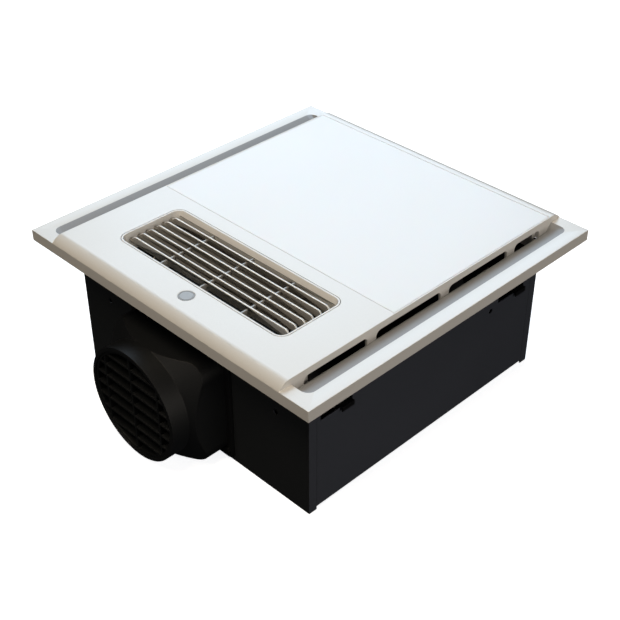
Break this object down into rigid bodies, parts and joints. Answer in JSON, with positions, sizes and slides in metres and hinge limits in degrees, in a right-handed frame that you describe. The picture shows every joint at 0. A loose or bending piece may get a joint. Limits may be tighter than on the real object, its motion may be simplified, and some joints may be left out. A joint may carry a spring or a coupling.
{
  "type": "bathroom ceiling heater",
  "caption": "Square ceiling-mounted warm-air heater with a light panel, louvred outlet, side air intakes and a round duct adaptor on a sheet-metal case.",
  "frame": {"origin": "centre of the back plate's outer face, the face that points up to the ceiling void when installed", "axes": "+Z out of the fascia's face, -Y towards the duct adaptor, +X to the right when the face is seen with the duct at the bottom"},
  "size_m": [0.3, 0.3234, 0.1299],
  "materials": {
    "white_plastic": "satin moulded white",
    "vane_plastic": "satin moulded white",
    "acetal": "natural acetal",
    "gear_motor_steel": "plated pressed can",
    "opal_diffuser": "opal, fine satin",
    "tray_plastic": "matt white reflector",
    "white_board": "white lacquered board",
    "led_phosphor": "phosphor gel",
    "driver_case": "moulded case",
    "sensor_grey": "smooth tinted window",
    "green_board": "lacquered board",
    "black_sheet": "satin black powder coat",
    "spring_steel": "rolled strip",
    "black_plastic": "satin moulded black",
    "damper_plastic": "moulded dark grey",
    "bright_steel": "bright turned",
    "black_screw": "blackened steel",
    "scroll_plastic": "moulded dark grey",
    "impeller_plastic": "moulded black",
    "motor_steel": "plated motor can",
    "grommet_rubber": "soft black rubber",
    "zinc_sheet": "galvanised sheet",
    "foam_rubber": "closed-cell foam",
    "heater_plastic": "heat-resistant resin",
    "heater_aluminium": "rolled foil",
    "brass_tab": "stamped brass",
    "cutout_black": "moulded phenolic",
    "box_plastic": "moulded light grey",
    "relay_blue": "moulded blue",
    "terminal_plastic": "moulded cream",
    "capacitor_plastic": "smooth moulded can",
    "gland_nylon": "moulded nylon"
  },
  "bodies": {
    "base": {"fascia_panel": "white_plastic", "grille_frame": "white_plastic", "swing_motor": "gear_motor_steel", "light_diffuser": "opal_diffuser", "light_tray": "tray_plastic", "led_board": "white_board", "led_chips": "led_phosphor", "led_driver": "driver_case", "sensor_window": "sensor_grey", "sensor_board": "green_board", "back_plate": "black_sheet", "side_wall_right": "black_sheet", "side_wall_left": "black_sheet", "front_wall": "black_sheet", "rear_wall": "black_sheet", "side_clips": "spring_steel", "fascia_clips": "spring_steel", "duct_adaptor": "black_plastic", "duct_guard": "black_plastic", "damper_pin": "bright_steel", "damper_springs": "bright_steel", "adaptor_screws": "black_screw", "scroll_casing": "scroll_plastic", "scroll_cover": "scroll_plastic", "blower_motor": "motor_steel", "motor_grommets": "grommet_rubber", "motor_screws": "bright_steel", "changeover_chamber": "zinc_sheet", "flap_motor": "gear_motor_steel", "outlet_channel": "zinc_sheet", "heater_frame": "heater_plastic", "heater_bars": "heater_aluminium", "fin_packs": "heater_aluminium", "heater_terminals": "brass_tab", "thermal_cutout": "cutout_black", "control_box": "box_plastic", "control_box_lid": "box_plastic", "control_board": "green_board", "relays": "relay_blue", "terminal_block": "terminal_plastic", "motor_capacitor": "capacitor_plastic", "capacitor_strap": "spring_steel", "cable_gland": "gland_nylon", "gland_nut": "gland_nylon", "earth_stud": "brass_tab"},
    "vane_1": {"louvre_vane_1": "vane_plastic"},
    "vane_2": {"louvre_vane_2": "vane_plastic"},
    "vane_3": {"louvre_vane_3": "vane_plastic"},
    "vane_4": {"louvre_vane_4": "vane_plastic"},
    "vane_5": {"louvre_vane_5": "vane_plastic"},
    "vane_6": {"louvre_vane_6": "vane_plastic"},
    "link_bar": {"vane_link_bar": "acetal"},
    "crank": {"swing_crank": "acetal"},
    "rotor": {"impeller": "impeller_plastic", "blower_shaft": "bright_steel", "impeller_nut": "bright_steel"},
    "leaf_left": {"damper_leaf_left": "damper_plastic"},
    "leaf_right": {"damper_leaf_right": "damper_plastic"},
    "flap": {"changeover_flap": "zinc_sheet", "flap_pads": "foam_rubber"}
  },
  "joints": [
    {"name": "vane_1_tilt", "type": "hinge", "parent": "base", "child": "vane_1", "pos_m": [0, -0.104, 0.1224], "axis": [1, 0, 0], "range_deg": [-7, 37]},
    {"name": "vane_2_tilt", "type": "hinge", "parent": "base", "child": "vane_2", "pos_m": [0, -0.0962, 0.1224], "axis": [1, 0, 0], "range_deg": [-7, 37]},
    {"name": "vane_3_tilt", "type": "hinge", "parent": "base", "child": "vane_3", "pos_m": [0, -0.0884, 0.1224], "axis": [1, 0, 0], "range_deg": [-7, 37]},
    {"name": "vane_4_tilt", "type": "hinge", "parent": "base", "child": "vane_4", "pos_m": [0, -0.0806, 0.1224], "axis": [1, 0, 0], "range_deg": [-7, 37]},
    {"name": "vane_5_tilt", "type": "hinge", "parent": "base", "child": "vane_5", "pos_m": [0, -0.0728, 0.1224], "axis": [1, 0, 0], "range_deg": [-7, 37]},
    {"name": "vane_6_tilt", "type": "hinge", "parent": "base", "child": "vane_6", "pos_m": [0, -0.065, 0.1224], "axis": [1, 0, 0], "range_deg": [-7, 37]},
    {"name": "link_turn", "type": "hinge", "parent": "vane_1", "child": "link_bar", "pos_m": [-0.0926, -0.10555, 0.1166], "axis": [1, 0, 0], "range_deg": [-37, 7]},
    {"name": "swing_turn", "type": "hinge", "parent": "base", "child": "crank", "pos_m": [-0.0947, -0.0845, 0.1004], "axis": [1, 0, 0], "range_deg": [-7, 37]},
    {"name": "impeller_spin", "type": "hinge", "parent": "base", "child": "rotor", "pos_m": [0.024, 0.036, 0.03], "axis": [0, 0, 1], "continuous": true},
    {"name": "damper_left_open", "type": "hinge", "parent": "base", "child": "leaf_left", "pos_m": [-0.007, -0.1282, 0.0484], "axis": [0, 0, 1], "range_deg": [0, 55], "stiffness_Nm_per_rad": 0.002},
    {"name": "damper_right_open", "type": "hinge", "parent": "base", "child": "leaf_right", "pos_m": [-0.007, -0.1282, 0.0484], "axis": [0, 0, -1], "range_deg": [0, 55], "stiffness_Nm_per_rad": 0.002},
    {"name": "flap_swing", "type": "hinge", "parent": "base", "child": "flap", "pos_m": [0, -0.1177, 0.0677], "axis": [1, 0, 0], "range_deg": [0, 90]}
  ],
  "couplings": [
    {"joint": "vane_2_tilt", "follows": "vane_1_tilt", "ratio": 1},
    {"joint": "vane_3_tilt", "follows": "vane_1_tilt", "ratio": 1},
    {"joint": "vane_4_tilt", "follows": "vane_1_tilt", "ratio": 1},
    {"joint": "vane_5_tilt", "follows": "vane_1_tilt", "ratio": 1},
    {"joint": "vane_6_tilt", "follows": "vane_1_tilt", "ratio": 1},
    {"joint": "swing_turn", "follows": "vane_1_tilt", "ratio": 1},
    {"joint": "link_turn", "follows": "vane_1_tilt", "ratio": -1}
  ]
}
